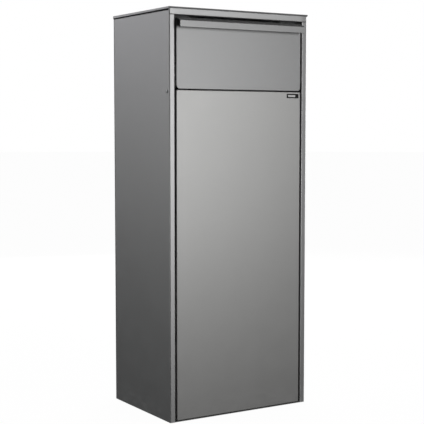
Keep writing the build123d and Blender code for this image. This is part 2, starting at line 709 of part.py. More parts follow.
def stop_buffer():
    """Rubber buffer on the left cheek; at full tilt it meets the back of the console."""
    tilt = radians(HOPPER_TILT)
    ahead = CONSOLE_Y - PIVOT_Y + SHEET + PAD_CLEARANCE + BUFFER_RADIUS
    y = PIVOT_Y + ahead * cos(tilt) + BUFFER_ARM * sin(tilt)
    z = PIVOT_Z - ahead * sin(tilt) + BUFFER_ARM * cos(tilt)
    reach = BUCKET_HALF + BUCKET_CLEARANCE + BUFFER_OVERLAP
    return rod_x(-reach, -BUCKET_HALF, y, z, BUFFER_RADIUS)


def catch_plate():
    """Sloping toothed plate on the back panel, below the hopper's drop."""
    tip = (PANEL_BACK - CATCH_REACH, CATCH_BEND - CATCH_DROP)
    section = folded([(PANEL_BACK, CATCH_TOP), (PANEL_BACK, CATCH_BEND), tip], SHEET)
    half = SIDE - REAR_FLANGE - CATCH_SIDE_GAP
    plate = along_x(section, -half, half)
    pitch = 2 * half / CATCH_NOTCHES
    for index in range(CATCH_NOTCHES):
        x = -half + pitch * (index + 0.5)
        notch = Box(CATCH_NOTCH_WIDTH, CATCH_NOTCH_DEPTH * 2, CATCH_NOTCH_DEPTH)
        plate -= Pos(x, *tip) * Rot(45, 0, 0) * notch
    return plate


def console_with_lock_hole(right_console):
    """The right console, bored for the lock barrel."""
    hole = LOCK_BARREL_RADIUS + HOLE_SLACK
    return right_console - rod_y(LOCK_X, CONSOLE_Y - CUT, CONSOLE_Y + SHEET + CUT, LOCK_Z, hole)


def lock_body():
    """Lock barrel with its bezel in front of the console."""
    bore = PLUG_RADIUS + RUNNING
    tail = CONSOLE_Y + SHEET + LOCK_BARREL_TAIL
    body = rod_y(LOCK_X, CONSOLE_Y, tail, LOCK_Z, LOCK_BARREL_RADIUS)
    face = CONSOLE_Y - LOCK_BEZEL_HEIGHT
    bezel = rod_y(LOCK_X, face, CONSOLE_Y, LOCK_Z, LOCK_BEZEL_RADIUS)
    rim = bezel.edges().filter_by(GeomType.CIRCLE).group_by(Axis.Y)[0]
    body += fillet(rim, LOCK_EDGE)
    return body - rod_y(LOCK_X, face - CUT, tail + CUT, LOCK_Z, bore)


def lock_nut():
    """Hexagon nut behind the console."""
    front = CONSOLE_Y + SHEET
    rear = front + LOCK_NUT_HEIGHT
    hexagon = Plane.XZ.offset(-rear) * Pos(LOCK_X, LOCK_Z) * RegularPolygon(LOCK_NUT_RADIUS, 6)
    nut = extrude(hexagon, amount=LOCK_NUT_HEIGHT)
    return nut - rod_y(LOCK_X, front - CUT, rear + CUT, LOCK_Z, LOCK_BARREL_RADIUS + HOLE_SLACK)


def lock_plug():
    """Turning core of the lock, with its keyway and a square tail."""
    front = CONSOLE_Y - LOCK_BEZEL_HEIGHT
    plug = rod_y(LOCK_X, front, CAM_Y, LOCK_Z, PLUG_RADIUS)
    half_width = KEYWAY_WIDTH / 2
    half_height = KEYWAY_HEIGHT / 2
    return plug - block(LOCK_X - half_width, LOCK_X + half_width, front - CUT, front + KEYWAY_DEPTH,
                        LOCK_Z - half_height, LOCK_Z + half_height)


def lock_cam():
    """Flat cam behind the barrel, lying level while the door is free."""
    half = CAM_WIDTH / 2
    cam = block(LOCK_X - CAM_LENGTH, LOCK_X, CAM_Y, CAM_Y + CAM_PLATE, LOCK_Z - half, LOCK_Z + half)
    tips = cam.edges().filter_by(Axis.Y).group_by(Axis.X)[0]
    cam = fillet(tips, CAM_CORNER)
    return cam + rod_y(LOCK_X, CAM_Y, CAM_Y + CAM_PLATE, LOCK_Z, half)


def cam_screw():
    """Screw head that holds the cam to the plug."""
    rear = CAM_Y + CAM_PLATE
    head = rod_y(LOCK_X, rear, rear + CAM_SCREW_HEIGHT, LOCK_Z, CAM_SCREW_RADIUS)
    crown = head.edges().filter_by(GeomType.CIRCLE).group_by(Axis.Y)[-1]
    return fillet(crown, CAM_SCREW_CROWN)


def make_cabinet():
    """Write the fixed pieces."""
    save_pair("left_side_panel", "right_side_panel", side_panel())
    save("back_panel", back_panel())
    save("base_pan", base_pan())
    save("front_sill", front_sill())
    save("compartment_mat", compartment_mat())
    save("roof_pan", roof_pan())
    save("header_rail", header_rail())
    save("catch_plate", catch_plate())
    left_console = console()
    rivets = []
    for x, z in bracket_rivet_spots():
        left_console -= rod_y(x, CONSOLE_Y - CUT, CONSOLE_Y + SHEET + CUT, z, RIVET_RADIUS + HOLE_SLACK)
        rivets.append(rivet_y(x, z, CONSOLE_Y - BRACKET_PLATE, CONSOLE_Y + SHEET))
    save("left_console", left_console)
    save("right_console", console_with_lock_hole(mirror(console(), about=Plane.YZ)))
    save("hinge_bracket", hinge_bracket())
    save("bracket_rivets", *rivets)
    save("door_pin_top", door_pin_top())
    save("door_pin_bottom", door_pin_bottom())
    save("pivot_blocks", *both_sides(pivot_block()))
    save("pivot_pins", *both_sides(pivot_pin()))
    save("pivot_block_screws", *both_sides(block_screw()))
    save("hopper_rest_bumpers", *both_sides(rest_bumper()))
    save("door_stops", *[door_stop(z) for z in STOP_HEIGHTS])
    save("door_stop_pads", *[door_stop_pad(z) for z in STOP_HEIGHTS])
    save("lock_body", lock_body())
    save("lock_nut", lock_nut())


def make_hopper():
    """Write the pieces that tilt with the hopper."""
    save("hopper_front", hopper_front())
    save("pull_handle", pull_handle())
    save("hopper_floor", hopper_floor())
    save_pair("left_cheek", "right_cheek", hopper_cheek())
    save_pair("left_ear", "right_ear", hopper_ear())
    save("ear_bushes", *both_sides(ear_bush()))
    rivets = [rivet for rise in RIVET_HEIGHTS for rivet in both_sides(ear_rivet(rise))]
    save("ear_rivets", *rivets)
    save("hopper_stop_buffers", *both_sides(stop_buffer()))


def make_door():
    """Write the pieces that swing with the door, and those that turn with its lock."""
    save("door_skin", door_skin())
    save("door_stiffeners", *[door_stiffener(x) for x in (-STIFFENER_OFFSET, STIFFENER_OFFSET)])
    save("door_bush_top", door_bush(DOOR_TOP, -1))
    save("door_bush_bottom", door_bush(DOOR_FLOOR_GAP, 1))
    save("lock_keeper", lock_keeper())
    save("badge_plate", badge_plate())
    save("lock_plug", lock_plug())
    save("lock_cam", lock_cam())
    save("cam_screw", cam_screw())


os.makedirs("parts", exist_ok=True)
make_cabinet()
make_hopper()
make_door()
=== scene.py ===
import logging
from collections.abc import Iterable, Mapping, Sequence
from dataclasses import dataclass, field
from enum import Enum
from functools import cached_property
from math import cos, pi, radians, sin
from typing import Any

import bmesh
import bpy
from bmesh.types import BMEdge, BMFace, BMVert
from mathutils import Matrix, Vector


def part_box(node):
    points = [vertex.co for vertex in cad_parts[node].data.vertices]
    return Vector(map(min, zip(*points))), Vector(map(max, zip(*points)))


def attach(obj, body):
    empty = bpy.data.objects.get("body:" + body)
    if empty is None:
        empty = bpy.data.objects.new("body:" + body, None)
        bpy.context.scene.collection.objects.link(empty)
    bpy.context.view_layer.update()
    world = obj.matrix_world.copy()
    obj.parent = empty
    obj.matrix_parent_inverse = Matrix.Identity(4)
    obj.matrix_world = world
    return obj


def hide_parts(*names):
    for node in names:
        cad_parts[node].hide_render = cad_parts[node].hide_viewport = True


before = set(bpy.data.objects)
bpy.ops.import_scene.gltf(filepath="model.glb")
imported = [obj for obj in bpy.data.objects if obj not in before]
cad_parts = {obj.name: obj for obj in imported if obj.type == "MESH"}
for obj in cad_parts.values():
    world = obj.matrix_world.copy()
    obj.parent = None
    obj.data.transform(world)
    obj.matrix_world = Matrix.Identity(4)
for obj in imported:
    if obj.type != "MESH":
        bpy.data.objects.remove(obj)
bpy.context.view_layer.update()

# Parcel drop box in folded steel: a tilting hopper above an inset door.
# Metres, in the CAD model's own frame: +X right, +Y to the rear, +Z up.

LOG = logging.getLogger("parcel_drop_box")
MM = 0.001
BURR = 0.15 * MM  # what is broken off the edges of cut sheet
CUT = 60.0  # edges past this many degrees are cut edges, not bends
PARALLEL = 0.999  # directions count as one when their cosine is above this
Point = tuple[float, float, float]
Colour = tuple[float, float, float]
Profile = list[tuple[float, float]]


# ---- shader maths


class Value:
    """A shader socket that takes part in arithmetic, adding Math nodes as it goes."""

    def __init__(self, graph: "Graph", socket: bpy.types.NodeSocket) -> None:
        """Wraps one output socket.

        Args:
            graph: the node graph that the socket belongs to.
            socket: the output socket.
        """
        self.graph = graph
        self.socket = socket

    def _math(self, operation: str, first: "Value | float", second: "Value | float") -> "Value":
        """Adds one Math node.

        Args:
            operation: the Math node's operation.
            first: the upper operand.
            second: the lower operand.

        Returns:
            The node's result.
        """
        return self.graph.node("ShaderNodeMath", {"operation": operation}, {0: first, 1: second})

    def __add__(self, other: "Value | float") -> "Value":
        """self + other."""
        return self._math("ADD", self, other)

    def __radd__(self, other: float) -> "Value":
        """other + self."""
        return self._math("ADD", other, self)

    def __sub__(self, other: "Value | float") -> "Value":
        """self - other."""
        return self._math("SUBTRACT", self, other)

    def __rsub__(self, other: float) -> "Value":
        """other - self."""
        return self._math("SUBTRACT", other, self)

    def __mul__(self, other: "Value | float") -> "Value":
        """self * other."""
        return self._math("MULTIPLY", self, other)

    def __rmul__(self, other: float) -> "Value":
        """other * self."""
        return self._math("MULTIPLY", other, self)

    def ramp(self, low: float, high: float, start: float = 0.0, end: float = 1.0) -> "Value":
        """Carries one range smoothly to another, held at its ends.

        Args:
            low: the value that becomes start.
            high: the value that becomes end.
            start: the result at low.
            end: the result at high.

        Returns:
            The result.
        """
        settings = {"interpolation_type": "SMOOTHSTEP"}
        sockets = {"Value": self, "From Min": low, "From Max": high, "To Min": start, "To Max": end}
        return self.graph.node("ShaderNodeMapRange", settings, sockets)


class Graph:
    """The nodes of one material or world."""

    def __init__(self, owner: bpy.types.ID, output: str = "ShaderNodeOutputMaterial") -> None:
        """Clears the owner's nodes and adds its output.

        Args:
            owner: the material or world.
            output: the type of its output node.
        """
        self.owner = owner
        owner.use_nodes = True
        self.tree = owner.node_tree
        self.tree.nodes.clear()
        self.output = self.tree.nodes.new(output)

    @cached_property
    def place(self) -> Value:
        """Where a point lies in its piece, in metres."""
        return self.node("ShaderNodeTexCoord", output="Object")

    def node(
        self,
        kind: str,
        settings: Mapping[str, Any] | None = None,
        sockets: Mapping[Any, Any] | None = None,
        output: int | str = 0,
    ) -> Value:
        """Adds a node: its settings first, then the values or links of its sockets.

        Args:
            kind: the node's type.
            settings: its properties, by name.
            sockets: a number, a tuple or a Value for each input, by name or place.
            output: the output that is wanted.

        Returns:
            That output.
        """
        node = self.tree.nodes.new(kind)
        for name, setting in (settings or {}).items():
            setattr(node, name, setting)
        for key, given in (sockets or {}).items():
            if isinstance(given, Value):
                self.tree.links.new(given.socket, node.inputs[key])
            else:
                node.inputs[key].default_value = given
        return Value(self, node.outputs[output])

    def noise(self, size: float, detail: float = 2.0, stretch: Point = (1.0, 1.0, 1.0)) -> Value:
        """Soft random mottling from 0 to 1, about 0.5.

        Args:
            size: the size of one blotch, in metres.
            detail: how many finer layers it has.
            stretch: how much longer a blotch is along each axis.

        Returns:
            The mottling.
        """
        scale = tuple(1 / way for way in stretch)
        place = self.node("ShaderNodeMapping", None, {"Vector": self.place, "Scale": scale})
        sockets = {"Vector": place, "Scale": 1 / size, "Detail": detail, "Roughness": 0.55}
        return self.node("ShaderNodeTexNoise", None, sockets)

    def along(self, axis: str) -> Value:
        """How far a point lies along an axis, X, Y or Z, in metres."""
        return self.node("ShaderNodeSeparateXYZ", None, {0: self.place}, axis)

    def blend(self, amount: Value | float, low: Colour | Value, high: Colour | Value) -> Value:
        """Mixes two colours.

        Args:
            amount: 0 for low, 1 for high.
            low: the first colour.
            high: the second colour.

        Returns:
            The mixed colour.
        """
        first = low if isinstance(low, Value) else (*low, 1.0)
        second = high if isinstance(high, Value) else (*high, 1.0)
        settings = {"data_type": "RGBA", "blend_type": "MIX"}
        return self.node("ShaderNodeMix", settings, {"Factor": amount, 6: first, 7: second}, 2)

    def bump(self, height: Value, depth: float, under: Value | None = None) -> Value:
        """Raises the surface by a height.

        Args:
            height: the relief, from 0 to 1.
            depth: the relief's depth, in metres.
            under: the bent normal that it is added to.

        Returns:
            The bent normal.
        """
        sockets = {"Height": height, "Distance": depth}
        if under:
            sockets["Normal"] = under
        return self.node("ShaderNodeBump", None, sockets, "Normal")

    def close(self, shader: Value) -> None:
        """Leads a shader to the output."""
        self.tree.links.new(shader.socket, self.output.inputs["Surface"])

    def surface(self, **sockets: Any) -> bpy.types.Material:
        """Closes the material with a Principled shader.

        Args:
            **sockets: the shader's inputs, with underscores for spaces.

        Returns:
            The finished material.
        """
        named = {name.replace("_", " "): given for name, given in sockets.items()}
        self.close(self.node("ShaderNodeBsdfPrincipled", None, named))
        return self.owner


def new_graph(name: str) -> Graph:
    """Starts a material of this name."""
    return Graph(bpy.data.materials.new(name))


# ---- finishes


@dataclass(frozen=True)
class PowderCoat:
    """Satin metallic powder coat: fine grain, faint flake and slow waves of the sheet below it.

    Attributes:
        name: the material's name.
        colour: the coat's mean colour.
        metallic: how much of it is metal flake.
        roughness: the mean roughness.
        grain: the size of one grain of texture, in metres.
        depth: the texture's depth, in metres.
        shade: how much lighter and darker the mottling goes.
        dusty_shaded_foot: whether the foot of the piece carries dust and scuffs together with painted shade,
            darker towards the floor.
        roll: how far a front edge beside the opening rolls back towards its fold, in metres.
        wave_size: the size of one slow wave of the sheet, in metres.
        wave_depth: the waves' depth, in metres.
        roll_range: where the roll starts and ends, as squares of the distance from the middle.
    """

    name: str
    colour: Colour
    metallic: float = 0.75
    roughness: float = 0.47
    grain: float = 0.0011
    depth: float = 0.00006
    shade: float = 0.05
    dusty_shaded_foot: bool = True
    roll: float = 0.0
    wave_size: float = 0.22
    wave_depth: float = 0.00042
    roll_range: tuple[float, float] = (0.036, 0.05)

    def make(self) -> bpy.types.Material:
        """Builds the material."""
        graph = new_graph(self.name)
        grain = graph.noise(self.grain, 3.0)
        flake = graph.noise(self.grain * 0.45, 0.0)
        waves = graph.noise(self.wave_size, 1.0)
        cloud = graph.noise(0.05, 3.0)
        light = tuple(min(1.0, part * (1 + self.shade * 2)) for part in self.colour)
        dark = tuple(part * (1 - self.shade * 2) for part in self.colour)
        tone = graph.blend(grain * 0.45 + flake * 0.25 + cloud * 0.3, dark, light)
        roughness = self.roughness - 0.06 + grain * 0.08 + cloud * 0.05
        # Painted shade with dust and scuffs: patches in the lowest 7 cm are darkened towards the floor.
        if self.dusty_shaded_foot:
            foot = graph.along("Z").ramp(0.0, 0.07, 1.0, 0.0)
            dust_and_shade = foot * graph.noise(0.012, 4.0, (3.0, 3.0, 1.0)).ramp(0.46, 0.66)
            tone = graph.blend(dust_and_shade * 0.12, tone, (0.16, 0.155, 0.145))
            roughness = roughness + dust_and_shade * 0.12
        normal = graph.bump(grain * 0.7 + flake * 0.3, self.depth)
        normal = graph.bump(waves, self.wave_depth, normal)
        if self.roll:
            across = graph.along("X")
            normal = graph.bump((across * across).ramp(*self.roll_range, 1.0, 0.0), self.roll, normal)
        return graph.surface(Base_Color=tone, Metallic=self.metallic, Roughness=roughness, Normal=normal)


@dataclass(frozen=True)
class BareMetal:
    """Plated or polished metal: spangle or fine turning marks, and a little tarnish.

    Attributes:
        name: the material's name.
        colour: the metal's colour.
        tarnish: the colour of the dull patches.
        roughness: the mean roughness.
        spangle: the size of one crystal of plating, in metres.
        marks: how far the tool marks are drawn out along each axis.
    """

    name: str
    colour: Colour
    tarnish: Colour
    roughness: float = 0.34
    spangle: float = 0.006
    marks: Point = (1.0, 1.0, 1.0)

    def make(self) -> bpy.types.Material:
        """Builds the material."""
        graph = new_graph(self.name)
        crystals = graph.node(
            "ShaderNodeTexVoronoi",
            {"feature": "F1"},
            {"Vector": graph.place, "Scale": 1 / self.spangle, "Randomness": 1.0},
            "Color",
        )
        facet = graph.node("ShaderNodeSeparateXYZ", None, {0: crystals}, "X")
        scratch = graph.noise(0.0006, 2.0, self.marks)
        dull = graph.noise(0.018, 4.0).ramp(0.45, 0.75)
        tone = graph.blend(dull * 0.55 + facet * 0.15, self.colour, self.tarnish)
        return graph.surface(
            Base_Color=tone,
            Metallic=1.0,
            Roughness=self.roughness + facet * 0.08 + scratch * 0.08 + dull * 0.1,
            Normal=graph.bump(scratch, 0.00003),
        )


class Tread(Enum):
    """The relief that is moulded into a rubber face."""

    SMOOTH = "smooth"
    RIBBED = "ribbed"


@dataclass(frozen=True)
class Moulding:
    """Moulded rubber or nylon: a fine matt skin, paler where it is rubbed.

    Attributes:
        name: the material's name.
        colour: the mean colour.
        rubbed: the colour of its worn places.
        roughness: the mean roughness.
        grain: the size of the skin's texture, in metres.
        tread: the relief that is moulded in.
    """

    name: str
    colour: Colour
    rubbed: Colour
    roughness: float = 0.6
    grain: float = 0.0008
    tread: Tread = Tread.SMOOTH

    def make(self) -> bpy.types.Material:
        """Builds the material."""
        graph = new_graph(self.name)
        skin = graph.noise(self.grain, 3.0)
        worn = graph.noise(0.02, 4.0).ramp(0.42, 0.72)
        normal = graph.bump(skin, 0.00008)
        roughness = self.roughness - 0.05 + skin * 0.1 + worn * 0.06
        tone = graph.blend(worn * 0.5 + skin * 0.2, self.colour, self.rubbed)
        if self.tread is Tread.RIBBED:
            wave = graph.node(
                "ShaderNodeTexWave",
                {"wave_type": "BANDS", "bands_direction": "X", "wave_profile": "SIN"},
                {"Vector": graph.place, "Scale": 52.0},
                "Fac",
            )
            rib = wave.ramp(0.35, 0.65)
            tone = graph.blend(rib * 0.35, tone, self.rubbed)
            normal = graph.bump(rib, 0.0008, normal)
        return graph.surface(Base_Color=tone, Roughness=roughness, Normal=normal)


@dataclass(frozen=True)
class PlateEnamel:
    """Baked enamel on the badge: smooth, with fine brushing under it.

    Attributes:
        name: the material's name.
        colour: the enamel's colour.
        metallic: how much metal shows through it.
        roughness: the mean roughness.
    """

    name: str
    colour: Colour
    metallic: float = 0.0
    roughness: float = 0.3

    def make(self) -> bpy.types.Material:
        """Builds the material."""
        graph = new_graph(self.name)
        brushing = graph.noise(0.0004, 2.0, (30.0, 1.0, 1.0))
        dark = tuple(part * 0.75 for part in self.colour)
        return graph.surface(
            Base_Color=graph.blend(brushing, dark, self.colour),
            Metallic=self.metallic,
            Roughness=self.roughness + brushing * 0.12,
            Specular_IOR_Level=0.2,
            Normal=graph.bump(brushing, 0.00002),
        )


@dataclass(frozen=True)
class Finishes:
    """Every finish on the box, made once.

    Attributes:
        door: the door's coat, on its outer faces.
        shell: the cabinet's coat.
        folded: the cabinet's coat where its front edges roll back beside the opening.
        hopper: the hopper's slightly darker, finer coat.
        lining: the thinner coat inside.
        recess: the consoles' coat beside the bucket, painted dark as the shade in the gap where they show.
        zinc: plated fixings and hinge parts.
        blackened: black-plated hinge parts, their black also a painted shade for the gaps where they stand.
        chrome: the lock's bright barrel.
        rubber: bumpers, buffers and pads.
        seal: the soft black strip under the roof, a painted shadow line.
        mat: the ribbed mat.
        nylon: bushes and blocks.
        badge: the badge's dark field.
        badge_rim: the badge's dark satin border.
        badge_mark: the badge's pale bar.
    """

    door: bpy.types.Material
    shell: bpy.types.Material
    folded: bpy.types.Material
    hopper: bpy.types.Material
    lining: bpy.types.Material
    recess: bpy.types.Material
    zinc: bpy.types.Material
    blackened: bpy.types.Material
    chrome: bpy.types.Material
    rubber: bpy.types.Material
    seal: bpy.types.Material
    mat: bpy.types.Material
    nylon: bpy.types.Material
    badge: bpy.types.Material
    badge_rim: bpy.types.Material
    badge_mark: bpy.types.Material

    @classmethod
    def mixed(cls) -> "Finishes":
        """Makes the set of finishes."""
        grey = (0.388, 0.389, 0.390)
        return cls(
            door=PowderCoat("coat_door", (0.378, 0.377, 0.372)).make(),
            shell=PowderCoat("coat_shell", grey).make(),
            folded=PowderCoat("coat_folded", grey, roll=1.6 * MM).make(),
            hopper=PowderCoat(
                "coat_hopper", (0.298, 0.299, 0.300), grain=0.0009, depth=0.0001, shade=0.07
            ).make(),
            lining=PowderCoat("coat_lining", (0.300, 0.303, 0.303), 0.5, 0.5, shade=0.07).make(),
            # Painted shade: the consoles are coated near black because they show only as shade through the
            # gap beside the hopper.
            recess=PowderCoat("coat_recess", (0.10, 0.101, 0.102), 0.5, 0.5, shade=0.07).make(),
            zinc=BareMetal("zinc_plate", (0.62, 0.63, 0.64), (0.42, 0.42, 0.40)).make(),
            # Black plating that is also painted shade: these hinge parts stand in the gaps, which are dark
            # with shade.
            blackened=BareMetal("black_zinc_gap_shade", (0.035, 0.035, 0.037), (0.06, 0.058, 0.054), 0.42).make(),
            chrome=BareMetal(
                "lock_chrome", (0.78, 0.78, 0.79), (0.6, 0.59, 0.57), 0.18, 0.02, (1.0, 18.0, 1.0)
            ).make(),
            rubber=Moulding("black_rubber", (0.018, 0.018, 0.019), (0.05, 0.05, 0.05)).make(),
            # Painted shadow: a near-black strip stands for the shadow line under the roof's side flanges.
            seal=Moulding("soft_seal", (0.004, 0.004, 0.004), (0.012, 0.012, 0.012), 0.9).make(),
            mat=Moulding(
                "ribbed_mat", (0.022, 0.023, 0.024), (0.06, 0.06, 0.058), 0.65, 0.0012, Tread.RIBBED
            ).make(),
            nylon=Moulding("black_nylon", (0.03, 0.03, 0.032), (0.07, 0.07, 0.072), 0.42, 0.0006).make(),
            badge=PlateEnamel("badge_enamel", (0.004, 0.004, 0.004), 0.0, 0.4).make(),
            badge_rim=PlateEnamel("badge_rim", (0.008, 0.008, 0.009), 0.5).make(),
            badge_mark=PlateEnamel("badge_mark", (0.93, 0.93, 0.92), 0.0, 0.4).make(),
        )


# ---- meshes


class Axis(Enum):
    """The direction that a turned piece's axis takes."""

    X = "X"
    Y = "Y"
    Z = "Z"

    def turned(self) -> Matrix:
        """The turn that carries +Z to this axis."""
        if self is Axis.X:
            return Matrix.Rotation(pi / 2, 4, "Y")
        if self is Axis.Y:
            return Matrix.Rotation(-pi / 2, 4, "X")
        return Matrix.Identity(4)


class Shape:
    """A mesh in the making, in the model's frame."""

    def __init__(self) -> None:
        """Starts an empty mesh."""
        self.bm = bmesh.new()

    def block(self, low: Point, high: Point) -> list[BMVert]:
        """Adds a box.

        Args:
            low: its lowest corner.
            high: its highest corner.

        Returns:
            The box's corners.
        """
        middle = (Vector(low) + Vector(high)) / 2
        size = Vector(high) - Vector(low)
        matrix = Matrix.Translation(middle) @ Matrix.Diagonal((*size, 1.0))
        return bmesh.ops.create_cube(self.bm, size=1.0, matrix=matrix)["verts"]

    def turn(self, profile: Profile, axis: Axis, centre: Point, steps: int = 40) -> None:
        """Spins a profile into a closed turned shape.

        Args:
            profile: pairs of distance along the axis and radius, from end to end.
            axis: the axis it is turned about.
            centre: the point where distance 0 lies.
            steps: how many facets go round.
        """
        before = set(self.bm.verts)
        verts = [self.bm.verts.new((radius, 0.0, along)) for along, radius in profile]
        edges = [self.bm.edges.new(pair) for pair in zip(verts, verts[1:])]
        bmesh.ops.spin(
            self.bm, geom=[*verts, *edges], axis=(0, 0, 1), angle=2 * pi, steps=steps, use_merge=True
        )
        bmesh.ops.remove_doubles(self.bm, verts=self.since(before), dist=1e-7)
        matrix = Matrix.Translation(centre) @ axis.turned()
        bmesh.ops.transform(self.bm, matrix=matrix, verts=self.since(before))

    def turn_pair(self, profile: Profile, y: float, z: float, steps: int = 40) -> None:
        """Spins a profile about X on the left, mirrored, and on the right.

        Args:
            profile: pairs of distance from the middle and radius, from end to end.
            y: where the axis lies, front to rear.
            z: how high it lies.
            steps: how many facets go round.
        """
        for side in (-1, 1):
            self.turn([(side * along, radius) for along, radius in profile], Axis.X, (0, y, z), steps)

    def since(self, before: set[BMVert]) -> list[BMVert]:
        """The corners that weren't there before."""
        return [vert for vert in self.bm.verts if vert not in before]

    def bent_line(self, path: Sequence[Point], bend: float) -> list[BMEdge]:
        """Adds a line with a bend at each of its inner corners.

        Args:
            path: the corners of the line.
            bend: the distance from a corner at which its bend starts.

        Returns:
            The line's edges.
        """
        before = set(self.bm.verts)
        verts = [self.bm.verts.new(point) for point in path]
        for pair in zip(verts, verts[1:]):
            self.bm.edges.new(pair)
        self.round_off(verts[1:-1], bend)
        return [edge for edge in self.bm.edges if edge.verts[0] not in before]

    def draw_out(self, edges: Sequence[BMEdge], run: Point) -> list[BMVert]:
        """Draws edges out into faces.

        Args:
            edges: the edges.
            run: how far and which way they go.

        Returns:
            The corners at the far end.
        """
        drawn = bmesh.ops.extrude_edge_only(self.bm, edges=edges)["geom"]
        far = [item for item in drawn if isinstance(item, BMVert)]
        bmesh.ops.translate(self.bm, vec=run, verts=far)
        return far

    def fold(self, path: Sequence[Point], bend: float, sheet: float, run: Point) -> None:
        """Folds a sheet: a bent line is drawn out along a run and given its thickness.

        Args:
            path: the corners of the bent line.
            bend: the distance from a corner at which its bend starts.
            sheet: the thickness, to the line's left or, if negative, its right.
            run: how far and which way the line is drawn out.
        """
        before = set(self.bm.verts)
        self.draw_out(self.bent_line(path, bend), run)
        faces = [face for face in self.bm.faces if face.verts[0] not in before]
        bmesh.ops.solidify(self.bm, geom=faces, thickness=sheet)
        bmesh.ops.recalc_face_normals(self.bm, faces=self.bm.faces[:])

    def round_off(self, items: Iterable[BMEdge | BMVert], reach: float, segments: int = 4) -> None:
        """Rounds edges, or the corners of an outline.

        Args:
            items: the edges or the corners.
            reach: how far from each its round starts.
            segments: facets in each round.
        """
        chosen = list(items)
        affect = "VERTICES" if any(isinstance(item, BMVert) for item in chosen) else "EDGES"
        bmesh.ops.bevel(
            self.bm, geom=chosen, offset=reach, offset_type="OFFSET", segments=segments, profile=0.5,
            affect=affect, material=-1, clamp_overlap=True,
        )

    def along(self, axis: int) -> list[BMEdge]:
        """The edges that run along an axis.

        Args:
            axis: 0, 1 or 2 for X, Y or Z.

        Returns:
            Those edges.
        """
        chosen = []
        for edge in self.bm.edges:
            run = edge.verts[1].co - edge.verts[0].co
            if abs(run[axis]) > PARALLEL * run.length:
                chosen.append(edge)
        return chosen

    def facing(self, way: Point) -> list[BMFace]:
        """The faces that look one way.

        Args:
            way: the direction.

        Returns:
            Those faces.
        """
        self.bm.normal_update()
        return [face for face in self.bm.faces if face.normal.dot(Vector(way)) > PARALLEL]

    def soften(self, width: float, angle: float = 40.0) -> None:
        """Breaks every sharp edge by a hair.

        Args:
            width: the width of the break.
            angle: an edge is sharp past this many degrees.
        """
        sharp = [
            edge
            for edge in self.bm.edges
            if len(edge.link_faces) == 2 and edge.calc_face_angle(0.0) > radians(angle)
        ]
        self.round_off(sharp, width, 2)

    def piece(
        self,
        name: str,
        body: str,
        slot: str,
        finishes: Sequence[bpy.types.Material],
        stands_for: Sequence[str] = (),
        crease: float = 35.0,
    ) -> bpy.types.Object:
        """Closes the mesh as a piece of the box.

        Args:
            name: the piece's name.
            body: the CAD body that it rides on.
            slot: the record's material slot, not used.
            finishes: its materials, in the order of the faces' indices.
            stands_for: the CAD nodes that it replaces.
            crease: faces that meet at less than this angle are shaded as one.

        Returns:
            The piece.
        """
        if all(edge.is_manifold for edge in self.bm.edges):
            bmesh.ops.recalc_face_normals(self.bm, faces=self.bm.faces)
        mesh = bpy.data.meshes.new(name)
        self.bm.to_mesh(mesh)
        self.bm.free()
        mesh.shade_smooth()
        mesh.set_sharp_from_angle(angle=radians(crease))
        for finish in finishes:
            mesh.materials.append(finish)
        piece = add_object(name, mesh)
        flats = piece.modifiers.new("flat_faces", "WEIGHTED_NORMAL")
        flats.mode, flats.keep_sharp = "FACE_AREA", True
        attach(piece, body)
        if stands_for:
            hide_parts(*stands_for)
        LOG.info("%s: %d faces on %s", name, len(mesh.polygons), body)
        return piece


def add_object(name: str, data: bpy.types.ID) -> bpy.types.Object:
    """Adds an object with this data to the scene."""
    item = bpy.data.objects.new(name, data)
    bpy.context.scene.collection.objects.link(item)
    return item


def dress(finish: bpy.types.Material, *nodes: str) -> None:
    """Gives CAD nodes a finish.

    Args:
        finish: the material.
        *nodes: the nodes' names.
    """
    for name in nodes:
        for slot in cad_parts[name].material_slots:
            slot.material = finish
        LOG.info("%s: dressed in %s", name, finish.name)


def extent(node: str) -> tuple[Vector, Vector, Vector]:
    """A CAD node's lowest corner, highest corner and middle at rest."""
    low, high = (Vector(corner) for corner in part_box(node))
    return low, high, (low + high) / 2


def domed(height: float, radius: float, rings: int = 6) -> Profile:
    """Profile of a low dome from its rim to its crown.

    Args:
        height: how high the crown stands above the rim.
        radius: the rim's radius.
        rings: facets from rim to crown.

    Returns:
        Pairs of distance along the axis and radius.
    """
    angles = [pi / 2 * step / rings for step in range(rings + 1)]
    return [(height * sin(angle), radius * cos(angle)) for angle in angles]


# ---- sub-assemblies


@dataclass
class Assembly:
    """A sub-assembly of the box.

    Attributes:
        finishes: the set of finishes.
    """

    finishes: Finishes


